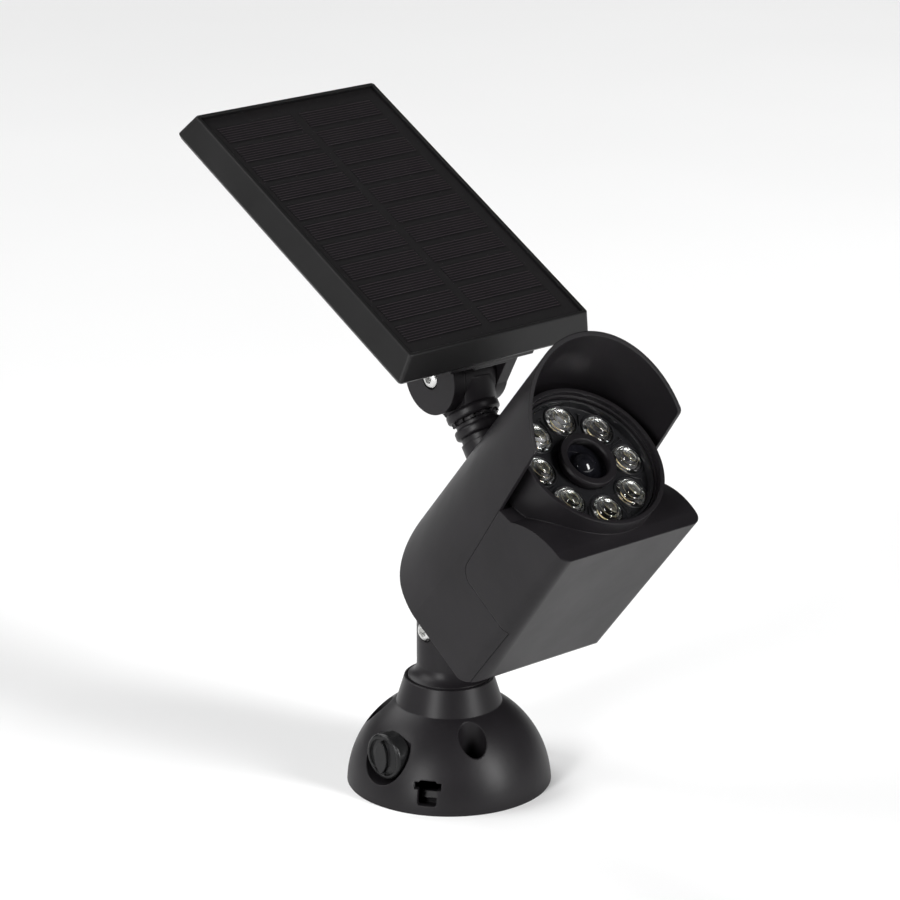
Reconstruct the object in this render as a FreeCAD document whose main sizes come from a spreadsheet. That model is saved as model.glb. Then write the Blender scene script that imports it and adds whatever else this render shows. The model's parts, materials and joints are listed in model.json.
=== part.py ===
"""Solar garden light: a dome base, a panning neck, a spotlight head and a solar panel on a swivel arm.

Units are millimetres and degrees. +Z is up and the light shines towards -Y. The origin is the centre
of the base's underside. Three local frames follow the joints: the head's frame sits on the tilt bolt,
and the arm's and the panel's frames sit on the panel's hinge bolt.
"""
import FreeCAD, Part
import math
import os
import Sketcher

Vector = FreeCAD.Vector
Rotation = FreeCAD.Rotation
Placement = FreeCAD.Placement
X_AXIS = Vector(1, 0, 0)
Y_AXIS = Vector(0, 1, 0)
Z_AXIS = Vector(0, 0, 1)

doc = FreeCAD.newDocument("SolarGardenLight")


# ---------------------------------------------------------------- sizes

DIMENSIONS = [
    # base dome
    ("base_radius", 42.5),
    ("dome_curve_radius", 42.5),
    ("dome_inner_radius", 39.9),
    ("dome_inner_curve_radius", 40.0),
    ("dome_ceiling_height", 33.0),
    ("dome_ceiling_radius", 17.6),
    ("collar_bottom_radius", 22.0),
    ("collar_bottom_height", 34.3),
    ("collar_top_radius", 18.6),
    ("collar_top_height", 45.4),
    ("seat_radius", 17.5),
    ("seat_height", 43.4),
    ("spigot_radius", 9.1),
    ("running_clearance", 0.08),
    ("base_turn", 3.0),
    ("screw_turn", 4.5),
    ("window_turn", 3.0),
    # screw towers in the dome
    ("screw_circle_radius", 29.4),
    ("tower_radius", 7.6),
    ("tower_height", 40.0),
    ("tower_floor_height", 6.0),
    ("counterbore_radius", 5.8),
    ("screw_hole_radius", 2.25),
    ("plate_thickness", 2.5),
    ("plate_radius", 39.4),
    # latch windows
    ("window_width", 8.0),
    ("window_ear_width", 11.2),
    ("window_bottom", 4.0),
    ("window_ear_bottom", 10.4),
    ("window_ear_top", 13.2),
    ("window_corner", 1.0),
    ("window_top", 14.0),
    ("window_depth", 36.0),
    ("latch_width", 6.8),
    ("latch_thickness", 1.8),
    ("latch_reach", 34.0),
    ("latch_height", 7.6),
    # lock knob
    ("knob_height", 19.5),
    ("knob_radius", 9.7),
    ("knob_floor", 31.4),
    ("knob_face", 38.0),
    ("knob_ridge_face", 39.4),
    ("knob_recess_radius", 7.9),
    ("knob_rim_round", 1.2),
    ("knob_leaf_length", 14.5),
    ("knob_leaf_curve", 9.26),
    ("pocket_radius", 11.1),
    ("pocket_wall", 2.2),
    ("shaft_radius", 4.0),
    ("shaft_tip", 9.7),
    # neck
    ("flange_radius", 17.1),
    ("flange_height", 45.9),
    ("flange_gap", 0.55),
    ("flare_height", 51.0),
    ("flare_curve_radius", 6.5),
    ("post_radius", 13.4),
    ("tilt_height", 67.64),
    ("spigot_bottom", 13.5),
    ("clip_groove_radius", 7.9),
    ("clip_bottom", 31.3),
    ("clip_top", 32.7),
    ("clip_outer_radius", 13.0),
    ("fork_slot_width", 12.4),
    ("fork_slot_bottom", 54.0),
    ("bolt_radius", 2.0),
    ("bolt_clearance", 0.06),
    ("bolt_head_radius", 4.0),
    ("bolt_head_height", 2.4),
    ("bolt_recess_radius", 4.6),
    ("neck_bolt_seat", 12.2),
    ("nut_radius", 4.0),
    ("nut_height", 3.2),
    # head shell, measured from the tilt bolt
    ("ring_distance", 125.3),
    ("barrel_drop", 3.3),
    ("hood_radius", 39.2),
    ("hood_drop", 1.5),
    ("shell_wall", 1.8),
    ("visor_reach", 38.0),
    ("rear_distance", 29.8),
    ("rear_corner_radius", 26.5),
    ("heel_radius", 8.6),
    ("belly_front_depth", 36.4),
    ("belly_rear_depth", 39.9),
    ("belly_front_half_width", 37.8),
    ("belly_rear_half_width", 36.8),
    ("belly_front_round", 2.5),
    ("belly_rear_round", 9.0),
    # parting line and visor edge, measured forward of and above the ring's centre
    ("visor_corner_forward", 15.9),
    ("visor_corner_height", 0.25),
    ("visor_rake", 0.39),
    ("visor_top_height", 50.0),
    ("visor_corner_round", 3.0),
    ("parting_bend_back", 50.5),
    ("parting_bend_height", 5.7),
    ("parting_drop_back", 57.2),
    ("parting_drop_height", 12.4),
    ("parting_bend_radius", 6.8),
    ("seam_depth", 36.9),
    ("seam_gap", 0.15),
    # front of the battery box
    ("cheek_top_back", 18.8),
    ("cheek_top_depth", 3.0),
    ("cheek_bend_back", 17.4),
    ("cheek_bend_depth", 10.0),
    ("cheek_curve_back", 6.8),
    ("cheek_curve_depth", 32.0),
    ("cheek_curve_radius", 35.0),
    ("box_front_back", 6.3),
    # barrel and its contents, measured back from the ring's face
    ("barrel_radius", 32.2),
    ("barrel_bore", 29.6),
    ("barrel_rim_bore", 30.4),
    ("barrel_rim_depth", 2.2),
    ("barrel_floor", 22.0),
    ("barrel_floor_thickness", 2.0),
    ("plate_depth", 7.0),
    ("reflector_thickness", 1.6),
    ("lens_circle_radius", 21.4),
    ("lens_phase", -7.0),
    ("lens_radius", 6.3),
    ("lens_skirt", 3.8),
    ("lens_crown", 3.8),
    ("lens_foot_depth", 10.0),
    ("lens_pocket_radius", 3.9),
    ("lens_pocket_depth", 1.6),
    ("led_board_depth", 10.6),
    ("board_thickness", 1.6),
    ("led_board_radius", 28.4),
    ("led_size", 5.0),
    ("led_height", 0.9),
    ("pir_rim_depth", 2.0),
    ("pir_rim_radius", 12.6),
    ("pir_foot_radius", 11.0),
    ("pir_opening_radius", 9.4),
    ("pir_lens_radius", 5.9),
    ("pir_lens_height", 4.4),
    ("pir_sensor_radius", 4.6),
    ("pir_sensor_height", 3.0),
    # rear lug
    ("lug_half_width", 6.0),
    ("lug_radius", 11.5),
    # housing screws and bosses
    ("boss_spread", 25.0),
    ("boss_top_height", 13.0),
    ("boss_low_depth", 24.0),
    ("boss_radius", 3.6),
    ("boss_bore", 1.56),
    ("small_screw_radius", 1.5),
    ("small_head_radius", 2.8),
    ("small_head_height", 1.6),
    ("small_screw_length", 12.0),
    # battery and control board
    ("cell_radius", 9.2),
    ("cell_length", 65.2),
    ("cell_depth", 24.0),
    ("cell_start", 26.4),
    ("holder_wall", 1.6),
    ("control_width", 44.0),
    ("control_length", 42.0),
    ("control_back", 46.0),
    ("control_depth", 8.0),
    # push button in the rear wall
    ("button_side", 20.0),
    ("button_height", 1.0),
    ("button_radius", 5.0),
    ("button_clearance", 0.3),
    ("button_proud", 2.4),
    ("button_collar_radius", 6.8),
    ("switch_size", 6.0),
    # arm, measured down from the hinge bolt along the arm
    ("hinge_back", 86.5),
    ("hinge_rise", 67.3),
    ("arm_lean", 15.4),
    ("knuckle_radius", 14.9),
    ("knuckle_half_width", 8.2),
    ("cone_bottom", 15.6),
    ("cone_bottom_radius", 11.0),
    ("cone_top", 7.0),
    ("cone_top_radius", 14.0),
    ("upper_ring_height", 17.7),
    ("upper_ring_radius", 11.2),
    ("ring_half_height", 2.1),
    ("ring_round", 1.4),
    ("swivel_split", 21.2),
    ("split_gap", 0.2),
    ("groove_radius", 8.8),
    ("lower_ring_height", 25.0),
    ("lower_ring_radius", 10.4),
    ("foot_top", 29.4),
    ("foot_radius", 9.6),
    ("foot_bottom", 44.0),
    ("arm_pin_radius", 5.4),
    ("arm_pin_bottom", 48.6),
    ("arm_bore_radius", 2.6),
    ("socket_tube_radius", 8.0),
    ("socket_tube_bottom", 46.0),
    ("socket_nut_radius", 12.0),
    ("socket_nut_height", 3.0),
    # panel, measured from the hinge bolt
    ("panel_lean", 28.38),
    ("panel_centre", 62.8),
    ("panel_top", 31.8),
    ("panel_thickness", 12.6),
    ("panel_length", 151.7),
    ("panel_width", 94.7),
    ("panel_flare", 3.15),
    ("panel_skirt", 1.8),
    ("panel_ridge", 1.5),
    ("panel_corner_round", 1.7),
    ("panel_edge_round", 0.6),
    ("glass_thickness", 1.0),
    ("glass_step", 0.35),
    ("cell_sheet_thickness", 0.8),
    ("cell_plate_thickness", 0.25),
    ("cell_plate_length", 9.7),
    ("cell_pitch", 12.56),
    ("cell_plate_width", 38.4),
    ("cell_gap", 4.4),
    ("cell_offset", -0.9),
    ("back_thickness", 2.0),
    ("frame_wall", 2.2),
    ("ear_outer", 14.3),
    ("ear_inner", 8.5),
    ("left_web_front", -8.0),
    ("pad_half_width", 22.0),
    ("pad_front", -14.8),
    ("pad_back", 24.0),
    ("pad_thickness", 2.0),
    ("hinge_bolt_seat", 12.9),
]

sheet = doc.addObject("Spreadsheet::Sheet", "Dims")
for row, (alias, value) in enumerate(DIMENSIONS, start=1):
    sheet.set("A%d" % row, alias)
    sheet.set("B%d" % row, str(value))
    sheet.setAlias("B%d" % row, alias)
doc.recompute()


class Size:
    """A number together with the sheet expression that gives it."""

    def __init__(self, value, text=None):
        self.value = float(value)
        self.text = text if text else "%.6g" % self.value

    def joined(self, other, sign, value):
        return Size(value, "(%s %s %s)" % (self.text, sign, other.text))

    def __add__(self, other):
        other = as_size(other)
        return self.joined(other, "+", self.value + other.value)

    def __sub__(self, other):
        other = as_size(other)
        return self.joined(other, "-", self.value - other.value)

    def __mul__(self, other):
        other = as_size(other)
        return self.joined(other, "*", self.value * other.value)

    def __truediv__(self, other):
        other = as_size(other)
        return self.joined(other, "/", self.value / other.value)

    def __radd__(self, other):
        return as_size(other) + self

    def __rsub__(self, other):
        return as_size(other) - self

    def __rmul__(self, other):
        return as_size(other) * self

    def __neg__(self):
        return Size(-self.value, "(0 - %s)" % self.text)


def as_size(number):
    """Any number as a Size."""
    return number if isinstance(number, Size) else Size(number)


class Sheet:
    """Reads a driving dimension as an attribute: D.base_radius."""

    def __init__(self, pairs):
        for name, number in pairs:
            setattr(self, name, Size(number, "Dims." + name))


D = Sheet(DIMENSIONS)
nodes = []


def bind(obj, prop, size):
    """Ties one property of an object to the sheet."""
    obj.setExpression(prop, as_size(size).text)


def node(obj, label, frame=None):
    """Registers a finished sub-part under its file name, placed in its frame."""
    doc.recompute()
    if obj.TypeId in ("Part::Box", "Part::Cylinder"):
        obj = group(obj.Name + "Part", [obj])
    if frame is not None:
        obj.Placement = frame
    obj.Label = label
    nodes.append(obj)
    return obj


# ---------------------------------------------------------------- frames

BASE_FRAME = Placement(Vector(0, 0, 0), Rotation(Z_AXIS, D.base_turn.value))
HEAD_ELEVATION = 49.76
HEAD_FRAME = Placement(Vector(0, 0, D.tilt_height.value), Rotation(X_AXIS, -HEAD_ELEVATION))
HINGE_POINT = HEAD_FRAME.multVec(Vector(0, -D.hinge_back.value, D.hinge_rise.value))
ARM_FRAME = Placement(HINGE_POINT, Rotation(X_AXIS, D.arm_lean.value - HEAD_ELEVATION))
PANEL_FRAME = Placement(HINGE_POINT, Rotation(X_AXIS, D.panel_lean.value))

ALONG_X = Rotation(Y_AXIS, 90)
ALONG_Y = Rotation(X_AXIS, -90)
ALONG_Z = Rotation()


# ---------------------------------------------------------------- builders

def place(obj, at, turn):
    """Puts a primitive at a point of its frame, tied to the sheet."""
    obj.Placement = Placement(Vector(*[as_size(c).value for c in at]), turn)
    for axis, coordinate in zip("xyz", at):
        if isinstance(coordinate, Size):
            bind(obj, "Placement.Base." + axis, coordinate)
    return obj


def cylinder(name, radius, height, at=(0, 0, 0), turn=ALONG_Z):
    """A round bar that starts at a point and runs along its turned Z axis."""
    obj = doc.addObject("Part::Cylinder", name)
    bind(obj, "Radius", radius)
    bind(obj, "Height", height)
    return place(obj, at, turn)


def cone(name, bottom_radius, top_radius, height, at=(0, 0, 0), turn=ALONG_Z):
    """A tapered bar that starts at a point and runs along its turned Z axis."""
    obj = doc.addObject("Part::Cone", name)
    bind(obj, "Radius1", bottom_radius)
    bind(obj, "Radius2", top_radius)
    bind(obj, "Height", height)
    return place(obj, at, turn)


def block(name, size, at):
    """A box with its lowest corner at a point."""
    obj = doc.addObject("Part::Box", name)
    for prop, length in zip(("Length", "Width", "Height"), size):
        bind(obj, prop, length)
    return place(obj, at, ALONG_Z)


def centred_block(name, size, centre_xy, bottom):
    """A box centred in X and Y over a bottom height."""
    x, y = (as_size(c) for c in centre_xy)
    length, width, height = (as_size(s) for s in size)
    return block(name, (length, width, height), (x - length / 2, y - width / 2, as_size(bottom)))


def fuse(name, shapes):
    obj = doc.addObject("Part::MultiFuse", name)
    obj.Shapes = shapes
    doc.recompute()
    return obj


def common(name, shapes):
    obj = doc.addObject("Part::MultiCommon", name)
    obj.Shapes = shapes
    doc.recompute()
    return obj


def cut(name, base, tools):
    """Takes one or more tools away from a base."""
    tool = tools[0] if len(tools) == 1 else fuse(name + "Tools", tools)
    obj = doc.addObject("Part::Cut", name)
    obj.Base = base
    obj.Tool = tool
    doc.recompute()
    return obj


def new_body(name):
    body = doc.addObject("PartDesign::Body", name)
    doc.recompute()
    return body


def origin_part(body, role):
    return [f for f in body.Origin.OriginFeatures if f.Role == role][0]


def new_sketch(body, plane, offset=0):
    """A sketch on one of the body's origin planes, moved along the plane's normal."""
    sketch = body.newObject("Sketcher::SketchObject", body.Name + "Sketch")
    sketch.AttachmentSupport = (origin_part(body, plane), [""])
    sketch.MapMode = "FlatFace"
    sketch.AttachmentOffset = Placement(Vector(0, 0, as_size(offset).value), Rotation())
    if isinstance(offset, Size):
        bind(sketch, "AttachmentOffset.Base.z", offset)
    return sketch


def cap_radius(half_width, height):
    """The radius of a ball's cap from its half-width and height."""
    half_width, height = as_size(half_width), as_size(height)
    return (half_width * half_width + height * height) / (height * 2)


def pin_point(sketch, edge, end, point):
    """Ties one end of a sketch edge to the sheet, or to an axis where a coordinate is zero."""
    for kind, axis_edge, coordinate in (("DistanceX", -2, point[0]), ("DistanceY", -1, point[1])):
        coordinate = as_size(coordinate)
        if coordinate.value == 0:
            sketch.addConstraint(Sketcher.Constraint("PointOnObject", edge, end, axis_edge))
            continue
        datum = Sketcher.Constraint(kind, -1, 1, edge, end, coordinate.value)
        index = sketch.addConstraint(datum)
        sketch.setExpression("Constraints[%d]" % index, coordinate.text)


def arc_crown(start, finish, radius, left):
    """The middle of the short arc between two points; it bulges left or right of the way it goes."""
    chord = finish - start
    rise = math.sqrt(max(radius ** 2 - (chord.Length / 2) ** 2, 0))
    side = Vector(-chord.y, chord.x, 0).normalize()
    if not left:
        side = -side
    middle = (start + finish) / 2
    crown = middle + side * (radius - rise)
    return crown


def outline(sketch, points, arcs=None):
    """A closed outline. arcs maps an edge's number to its radius and whether it bulges left."""
    arcs = arcs or {}
    flat = [Vector(as_size(x).value, as_size(y).value, 0) for x, y in points]
    count = len(points)
    ends = []
    for i in range(count):
        start, finish = flat[i], flat[(i + 1) % count]
        if i not in arcs:
            sketch.addGeometry(Part.LineSegment(start, finish))
            ends.append((1, 2))
            continue
        radius, left = arcs[i]
        crown = arc_crown(start, finish, as_size(radius).value, left)
        if left:
            start, finish = finish, start
        sketch.addGeometry(Part.ArcOfCircle(start, crown, finish))
        ends.append((2, 1) if left else (1, 2))
    for i in range(count):
        following = (i + 1) % count
        sketch.addConstraint(Sketcher.Constraint("Coincident", i, ends[i][1], following, ends[following][0]))
    for i in range(count):
        pin_point(sketch, i, ends[i][0], points[i])
    for i, (radius, left) in arcs.items():
        radius = as_size(radius)
        index = sketch.addConstraint(Sketcher.Constraint("Radius", i, radius.value))
        sketch.setExpression("Constraints[%d]" % index, radius.text)
    doc.recompute()
    return sketch


def ring_outline(sketch, centre, radius):
    """A circle with its centre and radius tied to the sheet."""
    middle = Vector(as_size(centre[0]).value, as_size(centre[1]).value, 0)
    edge = sketch.addGeometry(Part.Circle(middle, Z_AXIS, as_size(radius).value))
    pin_point(sketch, edge, 3, centre)
    index = sketch.addConstraint(Sketcher.Constraint("Radius", edge, as_size(radius).value))
    sketch.setExpression("Constraints[%d]" % index, as_size(radius).text)
    doc.recompute()
    return sketch


def pad(body, sketch, length, midplane=False, reverse=False):
    feature = body.newObject("PartDesign::Pad", body.Name + "Pad")
    feature.Profile = sketch
    feature.Midplane = midplane
    feature.Reversed = reverse
    bind(feature, "Length", length)
    doc.recompute()
    return feature


def pocket(body, sketch, length, midplane=False, reverse=False):
    """A cut that must take material away."""
    before = body.Shape.Volume
    feature = body.newObject("PartDesign::Pocket", body.Name + "Pocket")
    feature.Profile = sketch
    feature.Midplane = midplane
    feature.Reversed = reverse
    bind(feature, "Length", length)
    doc.recompute()
    if not body.Shape.Volume < before - 0.01:
        raise RuntimeError("a pocket of %s cuts nothing" % body.Name)
    return feature


def revolve(body, sketch):
    feature = body.newObject("PartDesign::Revolution", body.Name + "Revolution")
    feature.Profile = sketch
    feature.ReferenceAxis = (sketch, ["V_Axis"])
    feature.Angle = 360
    doc.recompute()
    return feature


def around_z(body, feature, count):
    """Repeats a feature round the body's Z axis."""
    pattern = body.newObject("PartDesign::PolarPattern", body.Name + "Pattern")
    pattern.Originals = [feature]
    pattern.Axis = (origin_part(body, "Z_Axis"), [""])
    pattern.Angle = 360
    pattern.Occurrences = count
    body.Tip = pattern
    doc.recompute()
    return pattern


def prism(name, plane, points, length, arcs=None, offset=0, midplane=True):
    """A body that is one padded outline."""
    body = new_body(name)
    sketch = outline(new_sketch(body, plane, offset), points, arcs)
    pad(body, sketch, length, midplane=midplane)
    return body


def turned(name, points, arcs=None):
    """A body that is one outline turned about Z; points are radius and height."""
    body = new_body(name)
    revolve(body, outline(new_sketch(body, "XZ_Plane"), points, arcs))
    return body


def group(name, solids):
    """Separate solids kept in one object."""
    obj = doc.addObject("Part::Compound", name)
    obj.Links = solids
    doc.recompute()
    return obj


def copy_at(source, placement):
    """A copy of a finished solid in another place."""
    obj = doc.addObject("Part::Feature", source.Name + "Copy")
    obj.Shape = source.Shape
    obj.Placement = placement.multiply(source.Placement)
    return obj


def circle_of(source, count, radius, phase):
    """Copies of a solid spaced round a circle, each turned with its place on it."""
    doc.recompute()
    copies = []
    for i in range(count):
        turn = Rotation(Z_AXIS, phase.value + 360.0 * i / count)
        copies.append(copy_at(source, Placement(turn.multVec(Vector(radius.value, 0, 0)), turn)))
    return copies


def soften(name, source, radius, wanted):
    """Rounds the edges of a solid that a rule picks out."""
    doc.recompute()
    picked = [i for i, edge in enumerate(source.Shape.Edges, start=1) if wanted(edge)]
    obj = doc.addObject("Part::Fillet", name)
    obj.Base = source
    obj.Edges = [(i, radius.value, radius.value) for i in picked]
    doc.recompute()
    return obj


def hexagon(sketch, radius):
    """A six-sided outline round the sketch origin, points at its left and right."""
    half = radius / 2
    rise = radius * (math.sqrt(3) / 2)
    corners = [(radius, 0), (half, rise), (-half, rise), (-radius, 0), (-half, -rise), (half, -rise)]
    return outline(sketch, corners)


def nut(name, label, radius, height, bore, frame):
    """A hexagon nut standing on its frame's XY plane."""
    body = new_body(name)
    pad(body, hexagon(new_sketch(body, "XY_Plane"), radius), height)
    pocket(body, ring_outline(new_sketch(body, "XY_Plane", height), (0, 0), bore), height * 2)
    return node(body, label, frame)


def bolt(name, label, shank_radius, head_radius, head_height, length, frame):
    """A domed bolt: head above its frame's XY plane, shank below, and a hexagon socket."""
    rim = head_height * 0.5
    points = [(0, -length), (shank_radius, -length), (shank_radius, 0), (head_radius, 0),
              (head_radius, rim), (head_radius * 0.62, head_height), (0, head_height)]
    body = turned(name, points, {4: (head_radius * 0.8, False)})
    socket = hexagon(new_sketch(body, "XY_Plane", head_height), head_radius * 0.54)
    pocket(body, socket, head_height * 0.6)
    return node(body, label, frame)


# ---------------------------------------------------------------- base

def dome_solid():
    points = [(0, 0), (D.base_radius, 0), (D.collar_bottom_radius, D.collar_bottom_height),
              (D.collar_top_radius, D.collar_top_height), (0, D.collar_top_height)]
    return turned("DomeSolid", points, {1: (D.dome_curve_radius, False)})


def dome_shell():
    bore = D.spigot_radius + D.running_clearance
    points = [(D.dome_inner_radius, 0), (D.base_radius, 0),
              (D.collar_bottom_radius, D.collar_bottom_height),
              (D.collar_top_radius, D.collar_top_height), (D.seat_radius, D.collar_top_height),
              (D.seat_radius, D.seat_height), (bore, D.seat_height), (bore, D.dome_ceiling_height),
              (D.dome_ceiling_radius, D.dome_ceiling_height)]
    arcs = {1: (D.dome_curve_radius, False), 8: (D.dome_inner_curve_radius, True)}
    return turned("DomeShell", points, arcs)


def turned_by(body, angle):
    """Turns a finished body about Z."""
    body.Placement = Placement(Vector(0, 0, 0), Rotation(Z_AXIS, angle.value))
    doc.recompute()
    return body


def three_round_bars(name, radius, bottom, height):
    """Three upright bars on the ground screws' circle."""
    body = new_body(name)
    sketch = ring_outline(new_sketch(body, "XY_Plane", bottom), (D.screw_circle_radius, 0), radius)
    body.AllowCompound = True
    around_z(body, pad(body, sketch, height), 3)
    return turned_by(body, D.screw_turn)


def latch_windows():
    """Three T-shaped openings through the dome's wall, with rounded corners below."""
    half, ear, bend = D.window_width / 2, D.window_ear_width / 2, D.window_corner
    low, top = D.window_bottom, D.window_top
    right = [(half - bend, low), (half, low + bend), (half, D.window_ear_bottom), (ear, D.window_ear_bottom),
             (ear, D.window_ear_top), (half, D.window_ear_top), (half - bend, top)]
    left = [(-x, y) for x, y in right[::-1]]
    body = new_body("LatchWindows")
    body.AllowCompound = True
    arcs = {0: (bend, False), 12: (bend, False)}
    sketch = outline(new_sketch(body, "XZ_Plane", -D.window_depth), right + left, arcs)
    around_z(body, pad(body, sketch, 12, reverse=True), 3)
    return turned_by(body, D.window_turn)


TOWARDS_MINUS_X = Rotation(Y_AXIS, -90)


def make_base_dome():
    tube_start = D.knob_floor - D.pocket_wall - 0.8
    tube = cylinder("PocketTube", D.pocket_radius + D.pocket_wall, 30,
                    (-tube_start, 0, D.knob_height), TOWARDS_MINUS_X)
    towers = three_round_bars("ScrewTowers", D.tower_radius, D.plate_thickness + 0.1, D.tower_height)
    inside = common("DomeInside", [dome_solid(), fuse("DomeAdditions", [tube, towers])])
    shell = fuse("DomeBody", [dome_shell(), inside])
    recess = cylinder("KnobPocket", D.pocket_radius, 30, (-(D.knob_floor - 0.8), 0, D.knob_height),
                      TOWARDS_MINUS_X)
    shaft_bore = cylinder("KnobBore", D.shaft_radius + D.running_clearance, 30,
                          (-(tube_start - 5), 0, D.knob_height), TOWARDS_MINUS_X)
    counterbores = three_round_bars("Counterbores", D.counterbore_radius, D.tower_floor_height, 60)
    holes = three_round_bars("ScrewHoles", D.screw_hole_radius, -1, 20)
    dome = cut("BaseDome", shell, [recess, shaft_bore, counterbores, holes, latch_windows()])
    node(dome, "base_dome", BASE_FRAME)


def make_bottom_plate():
    body = turned("BottomPlate", [(0, 0), (D.plate_radius, 0), (D.plate_radius, D.plate_thickness),
                                  (0, D.plate_thickness)])
    holes = three_round_bars("PlateHoles", D.screw_hole_radius, -1, 20)
    latches = new_body("Latches")
    latches.AllowCompound = True
    sketch = new_sketch(latches, "YZ_Plane")
    tip = D.latch_reach + 1.4
    outline(sketch, [(D.latch_reach - D.latch_thickness, 1), (D.latch_reach, 1),
                     (D.latch_reach, D.latch_height - 3.2), (tip, D.latch_height - 2.6),
                     (D.latch_reach, D.latch_height), (D.latch_reach - D.latch_thickness, D.latch_height)])
    around_z(latches, pad(latches, sketch, D.latch_width, midplane=True), 3)
    turned_by(latches, D.window_turn)
    plate = cut("PlateWithLatches", fuse("PlateSolid", [body, latches]), [holes])
    node(plate, "bottom_plate", BASE_FRAME)


def knob_frame():
    return BASE_FRAME.multiply(Placement(Vector(0, 0, D.knob_height.value), TOWARDS_MINUS_X))


def make_lock_knob():
    """The knob points along its own Z; its shaft stops just short of the neck's spigot."""
    rim, face, step = D.knob_rim_round, D.knob_face, 0.9
    dish = D.knob_recess_radius
    points = [(0, D.shaft_tip), (D.shaft_radius, D.shaft_tip), (D.shaft_radius, D.knob_floor),
              (D.knob_radius, D.knob_floor), (D.knob_radius, face - rim), (D.knob_radius - rim, face),
              (dish, face), (dish - 0.3, face - step), (0, face + 0.1)]
    arcs = {4: (rim, False), 7: (cap_radius(dish - 0.3, step + 0.1), False)}
    body = turned("KnobBody", points, arcs)
    leaf = new_body("KnobLeaf")
    half, curve = D.knob_leaf_length / 2, D.knob_leaf_curve
    outline(new_sketch(leaf, "XY_Plane", face - 2), [(-half, 0), (half, 0)], {0: (curve, False), 1: (curve, False)})
    pad(leaf, leaf.Group[-1], D.knob_ridge_face - face + 2)
    node(fuse("LockKnob", [body, leaf]), "lock_knob", knob_frame())


def make_lock_clip():
    inner = D.shaft_radius + 0.05
    top = D.knob_floor - D.pocket_wall - 1.1
    outer = D.shaft_radius + 1.6
    points = [(inner, top - 1), (outer, top - 1), (outer, top), (inner, top)]
    node(turned("LockClip", points), "lock_clip", knob_frame())


# ---------------------------------------------------------------- neck

def make_neck_post():
    top = D.tilt_height + D.post_radius
    spigot = D.spigot_radius
    points = [(0, D.spigot_bottom), (spigot, D.spigot_bottom), (spigot, D.clip_bottom),
              (D.clip_groove_radius, D.clip_bottom), (D.clip_groove_radius, D.clip_top),
              (spigot, D.clip_top), (spigot, D.seat_height), (D.flange_radius, D.seat_height),
              (D.flange_radius, D.flange_height), (D.post_radius, D.flare_height),
              (D.post_radius, top), (0, top)]
    post = turned("PostBody", points, {8: (D.flare_curve_radius, True)})
    crown = block("CrownBlock", (40, 40, 20), (-20, -20, D.tilt_height))
    round_top = cylinder("CrownRound", D.post_radius, 44, (-22, 0, D.tilt_height), ALONG_X)
    corners = cut("CrownCorners", crown, [round_top])
    slot = centred_block("ForkSlot", (D.fork_slot_width, 40, 40), (0, 0), D.fork_slot_bottom)
    bore = cylinder("ForkBore", D.bolt_radius + D.bolt_clearance, 40, (-20, 0, D.tilt_height), ALONG_X)
    left = cylinder("HeadRecess", D.bolt_recess_radius, 10, (-(D.neck_bolt_seat + 10), 0, D.tilt_height),
                    ALONG_X)
    right = cylinder("NutRecess", D.bolt_recess_radius, 10, (D.neck_bolt_seat, 0, D.tilt_height), ALONG_X)
    wire_way = cylinder("WireWay", 3, 60, (0, 0, 0))
    node(cut("NeckPost", post, [corners, slot, bore, left, right, wire_way]), "neck_post")


def make_pan_clip():
    inner = D.clip_groove_radius + 0.05
    low, high = D.clip_bottom + 0.1, D.clip_top - 0.1
    ring = turned("ClipRing", [(inner, low), (D.clip_outer_radius, low), (D.clip_outer_radius, high),
                               (inner, high)])
    mouth = block("ClipMouth", (20, 8, 10), (0, -4, low - 4))
    node(cut("PanClip", ring, [mouth]), "pan_clip")


def side_bolt(name, labels, seat, origin):
    """A bolt and nut across a fork: the head faces -X, the nut +X."""
    head_frame = origin.multiply(Placement(Vector(-seat.value, 0, 0), TOWARDS_MINUS_X))
    nut_frame = origin.multiply(Placement(Vector(seat.value, 0, 0), ALONG_X))
    bolt(name + "Bolt", labels[0], D.bolt_radius, D.bolt_head_radius, D.bolt_head_height,
         seat * 2 + D.nut_height + 0.8, head_frame)
    nut(name + "Nut", labels[1], D.nut_radius, D.nut_height, D.bolt_radius + 0.02, nut_frame)


# ---------------------------------------------------------------- head shell

def ahead(distance):
    """Y of a plane ahead of the ring's face; behind it is negative."""
    return -(D.ring_distance + distance)


def above(height):
    """Z of a height above the barrel's axis."""
    return height - D.barrel_drop


def head_section(body, offset, depth, half_width, corner, inset):
    """One cross-section of the head: a half-round top, leaning sides and a rounded belly."""
    centre = above(-D.hood_drop)
    radius = D.hood_radius - inset
    bottom = above(-(depth - inset))
    half = half_width - inset
    bend = corner - inset * 0.9
    points = [(radius, centre), (0, centre + radius), (-radius, centre), (-half, bottom + bend),
              (-(half - bend), bottom), (half - bend, bottom), (half, bottom + bend)]
    arcs = {0: (radius, False), 1: (radius, False), 3: (bend, False), 5: (bend, False)}
    return outline(new_sketch(body, "XZ_Plane", offset), points, arcs)


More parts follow.
